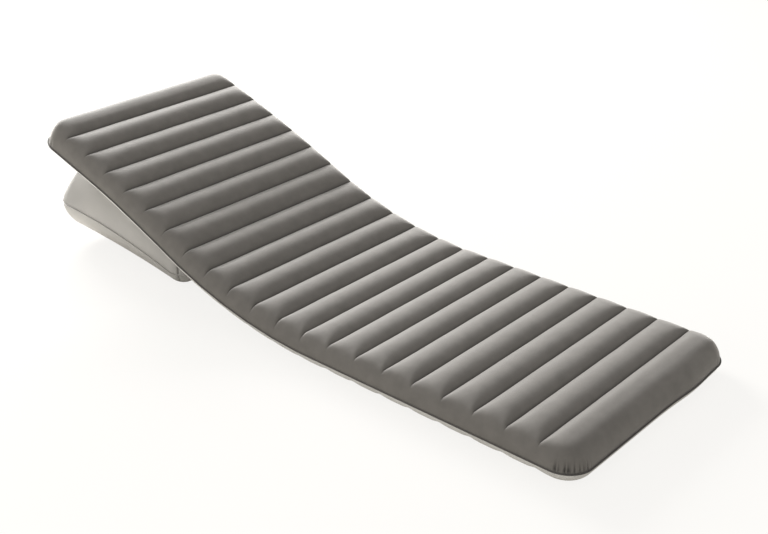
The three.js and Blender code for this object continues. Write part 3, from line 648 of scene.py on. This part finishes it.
def ringAbout(name, valve, section, sides):
    # a closed section carried round the valve's axis
    turn = np.linspace(0, 2 * math.pi, sides, endpoint=False)[:, None]
    radius, level = section.T
    local = np.stack([radius * np.cos(turn), radius * np.sin(turn), level + 0 * turn], axis=-1)
    i, j = np.arange(sides)[:, None], np.arange(len(section))[None, :]
    nextI, nextJ = (i + 1) % sides * len(section), (j + 1) % len(section)
    i = i * len(section)
    faces = np.stack([i + j, nextI + j, nextI + nextJ, i + nextJ], axis=-1).reshape(-1, 4)
    return meshObject(name, valve["centre"] + local @ valve["turn"].T, faces)


bossRing = ringAbout("valve_boss", mattressValve, roundedSection(boss), boss["sides"])
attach(bossRing, "seat")
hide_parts("seat_top_sheet")
print("valve boss:", len(bossRing.data.polygons), "faces")


# materials: each is a mix of two tones with fine grain, darkened by painted shade in the grooves, seams,
# folds and gathers

grainLook = {"cloudDetail": 3, "grainDetail": 2, "cloudSpan": (0.3, 0.7), "paintedShadeTone": 0.3}
# each look also gives how strongly painted shade darkens it
looks = {
    "flockedTop": {"dark": (0.158, 0.147, 0.132), "light": (0.186, 0.173, 0.156), "rough": (0.7, 0.95),
                   "paintedShade": 0.85, "coarse": 30, "fine": 900, "bump": 0.5, "height": 0.0004},
    "greySheet": {"dark": (0.60, 0.585, 0.555), "light": (0.67, 0.655, 0.625), "rough": (0.45, 0.6),
                  "paintedShade": 0.4, "coarse": 9, "fine": 500, "bump": 0.2, "height": 0.0002},
    "wedgeSheet": {"dark": (0.42, 0.407, 0.385), "light": (0.47, 0.456, 0.432), "rough": (0.45, 0.6),
                   "paintedShade": 0.7, "coarse": 7, "fine": 500, "bump": 0.2, "height": 0.0002},
    "webSheet": {"dark": (0.33, 0.32, 0.30), "light": (0.40, 0.39, 0.37), "rough": (0.45, 0.6),
                 "paintedShade": 0.0, "coarse": 12, "fine": 500, "bump": 0.2, "height": 0.0002},
    "valvePlastic": {"dark": (0.060, 0.058, 0.055), "light": (0.078, 0.076, 0.072), "rough": (0.35, 0.5),
                     "paintedShade": 0.0, "coarse": 60, "fine": 1500, "bump": 0.15, "height": 0.0001},
    "sealRubber": {"dark": (0.018, 0.018, 0.018), "light": (0.028, 0.028, 0.028), "rough": (0.6, 0.8),
                   "paintedShade": 0.0, "coarse": 80, "fine": 1500, "bump": 0.2, "height": 0.0001},
    "clearVinyl": {"dark": (0.58, 0.58, 0.56), "light": (0.64, 0.64, 0.62), "rough": (0.15, 0.3),
                   "paintedShade": 0.0, "coarse": 60, "fine": 900, "bump": 0.1, "height": 0.0001},
}
# the pile of the flock is brighter where it is seen at a low angle
pile = {"Sheen Weight": 1.0, "Sheen Roughness": 0.38, "Sheen Tint": (1.0, 0.97, 0.93, 1)}


def nodeMaterial(name):
    # a new material with the parts that are needed to wire it up
    material = bpy.data.materials.new(name)
    material.use_nodes = True
    nodes, links = material.node_tree.nodes, material.node_tree.links
    return material, nodes, links, nodes["Principled BSDF"]


def setInputs(node, values):
    # plain values for a node's sockets, by their names or numbers
    for key, value in values.items():
        node.inputs[key].default_value = value


def addNode(nodes, kind, values=None, **settings):
    # a shader node with its settings and the plain values of its sockets
    node = nodes.new(kind)
    for key, value in settings.items():
        setattr(node, key, value)
    setInputs(node, values or {})
    return node


def grainGroup():
    # two noises on Object coordinates: a soft cloud and a fine grain
    group = bpy.data.node_groups.new("fabricGrain", "ShaderNodeTree")
    for direction, names in (("INPUT", ("coarse", "fine")), ("OUTPUT", ("cloud", "grain"))):
        for name in names:
            group.interface.new_socket(name, in_out=direction, socket_type="NodeSocketFloat")
    nodes, links = group.nodes, group.links
    into, out = nodes.new("NodeGroupInput"), nodes.new("NodeGroupOutput")
    coords = nodes.new("ShaderNodeTexCoord")
    for socket, target in (("coarse", "cloud"), ("fine", "grain")):
        noise = addNode(nodes, "ShaderNodeTexNoise", {"Detail": grainLook[target + "Detail"]})
        links.new(coords.outputs["Object"], noise.inputs["Vector"])
        links.new(into.outputs[socket], noise.inputs["Scale"])
        links.new(noise.outputs["Fac"], out.inputs[target])
    return group


fabricGrain = grainGroup()


def grainMaterial(name, look):
    # colour between two tones by the cloud, darkened where the mesh carries painted shade; roughness and
    # bump by the grain
    material, nodes, links, shader = nodeMaterial(name)
    scales = {"coarse": look["coarse"], "fine": look["fine"]}
    grain = addNode(nodes, "ShaderNodeGroup", scales, node_tree=fabricGrain)
    low, high = grainLook["cloudSpan"]
    ramp = addNode(nodes, "ShaderNodeMapRange", {"From Min": low, "From Max": high})
    links.new(grain.outputs["cloud"], ramp.inputs["Value"])
    tones = {"A": (*look["dark"], 1), "B": (*look["light"], 1)}
    mix = addNode(nodes, "ShaderNodeMix", tones, data_type="RGBA")
    links.new(ramp.outputs["Result"], mix.inputs["Factor"])
    # painted shade: the mesh's tone, times the look's strength, mixes the colour towards a darker copy of
    # its dark tone
    paintedShade = addNode(nodes, "ShaderNodeAttribute", attribute_name="paintedShade")
    deepen = addNode(nodes, "ShaderNodeMath", {1: look["paintedShade"]}, operation="MULTIPLY")
    links.new(paintedShade.outputs["Fac"], deepen.inputs[0])
    darkest = (*[grainLook["paintedShadeTone"] * c for c in look["dark"]], 1)
    shade = addNode(nodes, "ShaderNodeMix", {"B": darkest}, data_type="RGBA")
    links.new(deepen.outputs["Value"], shade.inputs["Factor"])
    links.new(mix.outputs["Result"], shade.inputs["A"])
    links.new(shade.outputs["Result"], shader.inputs["Base Color"])
    low, high = look["rough"]
    rough = addNode(nodes, "ShaderNodeMapRange", {"To Min": low, "To Max": high})
    links.new(grain.outputs["grain"], rough.inputs["Value"])
    links.new(rough.outputs["Result"], shader.inputs["Roughness"])
    bump = addNode(nodes, "ShaderNodeBump", {"Strength": look["bump"], "Distance": look["height"]})
    links.new(grain.outputs["grain"], bump.inputs["Height"])
    links.new(bump.outputs["Normal"], shader.inputs["Normal"])
    return material


materials = {name: grainMaterial(name, look) for name, look in looks.items()}
setInputs(materials["flockedTop"].node_tree.nodes["Principled BSDF"], pile)

dressed = {"flockedTop": topPieces + [bossRing], "greySheet": bottomPieces, "wedgeSheet": wedgePieces,
           "webSheet": tiePieces}
for name, pieces in dressed.items():
    for piece in pieces:
        piece.data.materials.clear()
        piece.data.materials.append(materials[name])
bySlot = {
    "flocked_top": "flockedTop", "grey_sheet": "greySheet", "wedge_sheet": "wedgeSheet",
    "web_sheet": "webSheet", "valve_plastic": "valvePlastic", "seal_rubber": "sealRubber",
    "clear_vinyl": "clearVinyl",
}
slotOf = {row["node"]: row["material_slot"] for row in frame["record"]["subparts"]}
for name, node in frame["nodes"].items():
    for materialSlot in node.material_slots:
        materialSlot.material = materials[bySlot[slotOf[name]]]
print("materials:", len(bpy.data.materials))


# floor, light and camera

stageLook = {"reach": 14, "level": -0.0004, "floorColour": (0.95, 0.92, 0.86), "floorRough": 0.9,
             "backColour": (1.0, 0.99, 0.97), "whiteShare": 0.85}
floorCorners = np.array([[-1, -1, 0], [1, -1, 0], [1, 1, 0], [-1, 1, 0]]) * stageLook["reach"]
floor = meshObject("floor", floorCorners + [0, 0, stageLook["level"]], np.array([[0, 1, 2, 3]]))
floorMaterial, nodes, links, shader = nodeMaterial("paleFloor")
setInputs(shader, {"Base Color": (*stageLook["floorColour"], 1), "Roughness": stageLook["floorRough"]})
# what the camera sees of the floor is mostly a plain pale glow, so the shadows on it stay soft
seen = nodes.new("ShaderNodeLightPath")
glow = addNode(nodes, "ShaderNodeEmission", {"Color": (*stageLook["backColour"], 1)})
share = addNode(nodes, "ShaderNodeMath", {1: stageLook["whiteShare"]}, operation="MULTIPLY")
mix = nodes.new("ShaderNodeMixShader")
links.new(seen.outputs["Is Camera Ray"], share.inputs[0])
links.new(share.outputs["Value"], mix.inputs["Fac"])
links.new(shader.outputs["BSDF"], mix.inputs[1])
links.new(glow.outputs["Emission"], mix.inputs[2])
links.new(mix.outputs["Shader"], nodes["Material Output"].inputs["Surface"])
floor.data.materials.append(floorMaterial)

lights = {
    "keyLight": {"place": (1.8, 4.6, 2.1), "aim": (0, 0.2, 0.1), "size": (2.4, 1.4), "power": 430},
    "headLight": {"place": (0.4, 2.7, 2.0), "aim": (0, 0.8, 0.3), "size": (1.6, 1.0), "power": 24},
    "fillLight": {"place": (-3.8, 0.0, 1.6), "aim": (0, 0.3, 0.1), "size": (2.0, 2.0), "power": 17},
}
for name, light in lights.items():
    lamp = bpy.data.lights.new(name, "AREA")
    lamp.shape, lamp.energy = "RECTANGLE", light["power"]
    lamp.size, lamp.size_y = light["size"]
    stand = bpy.data.objects.new(name, lamp)
    stand.location = light["place"]
    aim = Vector(light["aim"]) - Vector(light["place"])
    stand.rotation_euler = aim.to_track_quat("-Z", "Y").to_euler()
    bpy.context.collection.objects.link(stand)
skyLook = {"Color": (1, 0.99, 0.975, 1), "Strength": 0.52}
world = bpy.data.worlds.new("studio")
bpy.context.scene.world = world
world.use_nodes = True
setInputs(world.node_tree.nodes["Background"], skyLook)

cameraLook = {"place": (-2.1301, -1.857, 1.5687), "yaw": -48.03, "pitch": 26.48, "roll": -0.62,
              "lens": 56.30, "sensor": 36}  # angles in degrees, lens and sensor in millimetres
yaw, pitch, roll = (math.radians(cameraLook[key]) for key in ("yaw", "pitch", "roll"))
forward = Vector((-math.sin(yaw) * math.cos(pitch), math.cos(yaw) * math.cos(pitch), -math.sin(pitch)))
right = Vector((math.cos(yaw), math.sin(yaw), 0))
up = right.cross(forward)
right, up = math.cos(roll) * right + math.sin(roll) * up, math.cos(roll) * up - math.sin(roll) * right
lens = bpy.data.cameras.new("camera")
lens.lens, lens.sensor_width = cameraLook["lens"], cameraLook["sensor"]
camera = bpy.data.objects.new("camera", lens)
facing = Matrix((right, up, -forward)).transposed().to_4x4()
camera.matrix_world = Matrix.Translation(cameraLook["place"]) @ facing
bpy.context.collection.objects.link(camera)
bpy.context.scene.camera = camera
bpy.context.scene.view_settings.view_transform = "Standard"
print("floor, light and camera ready")
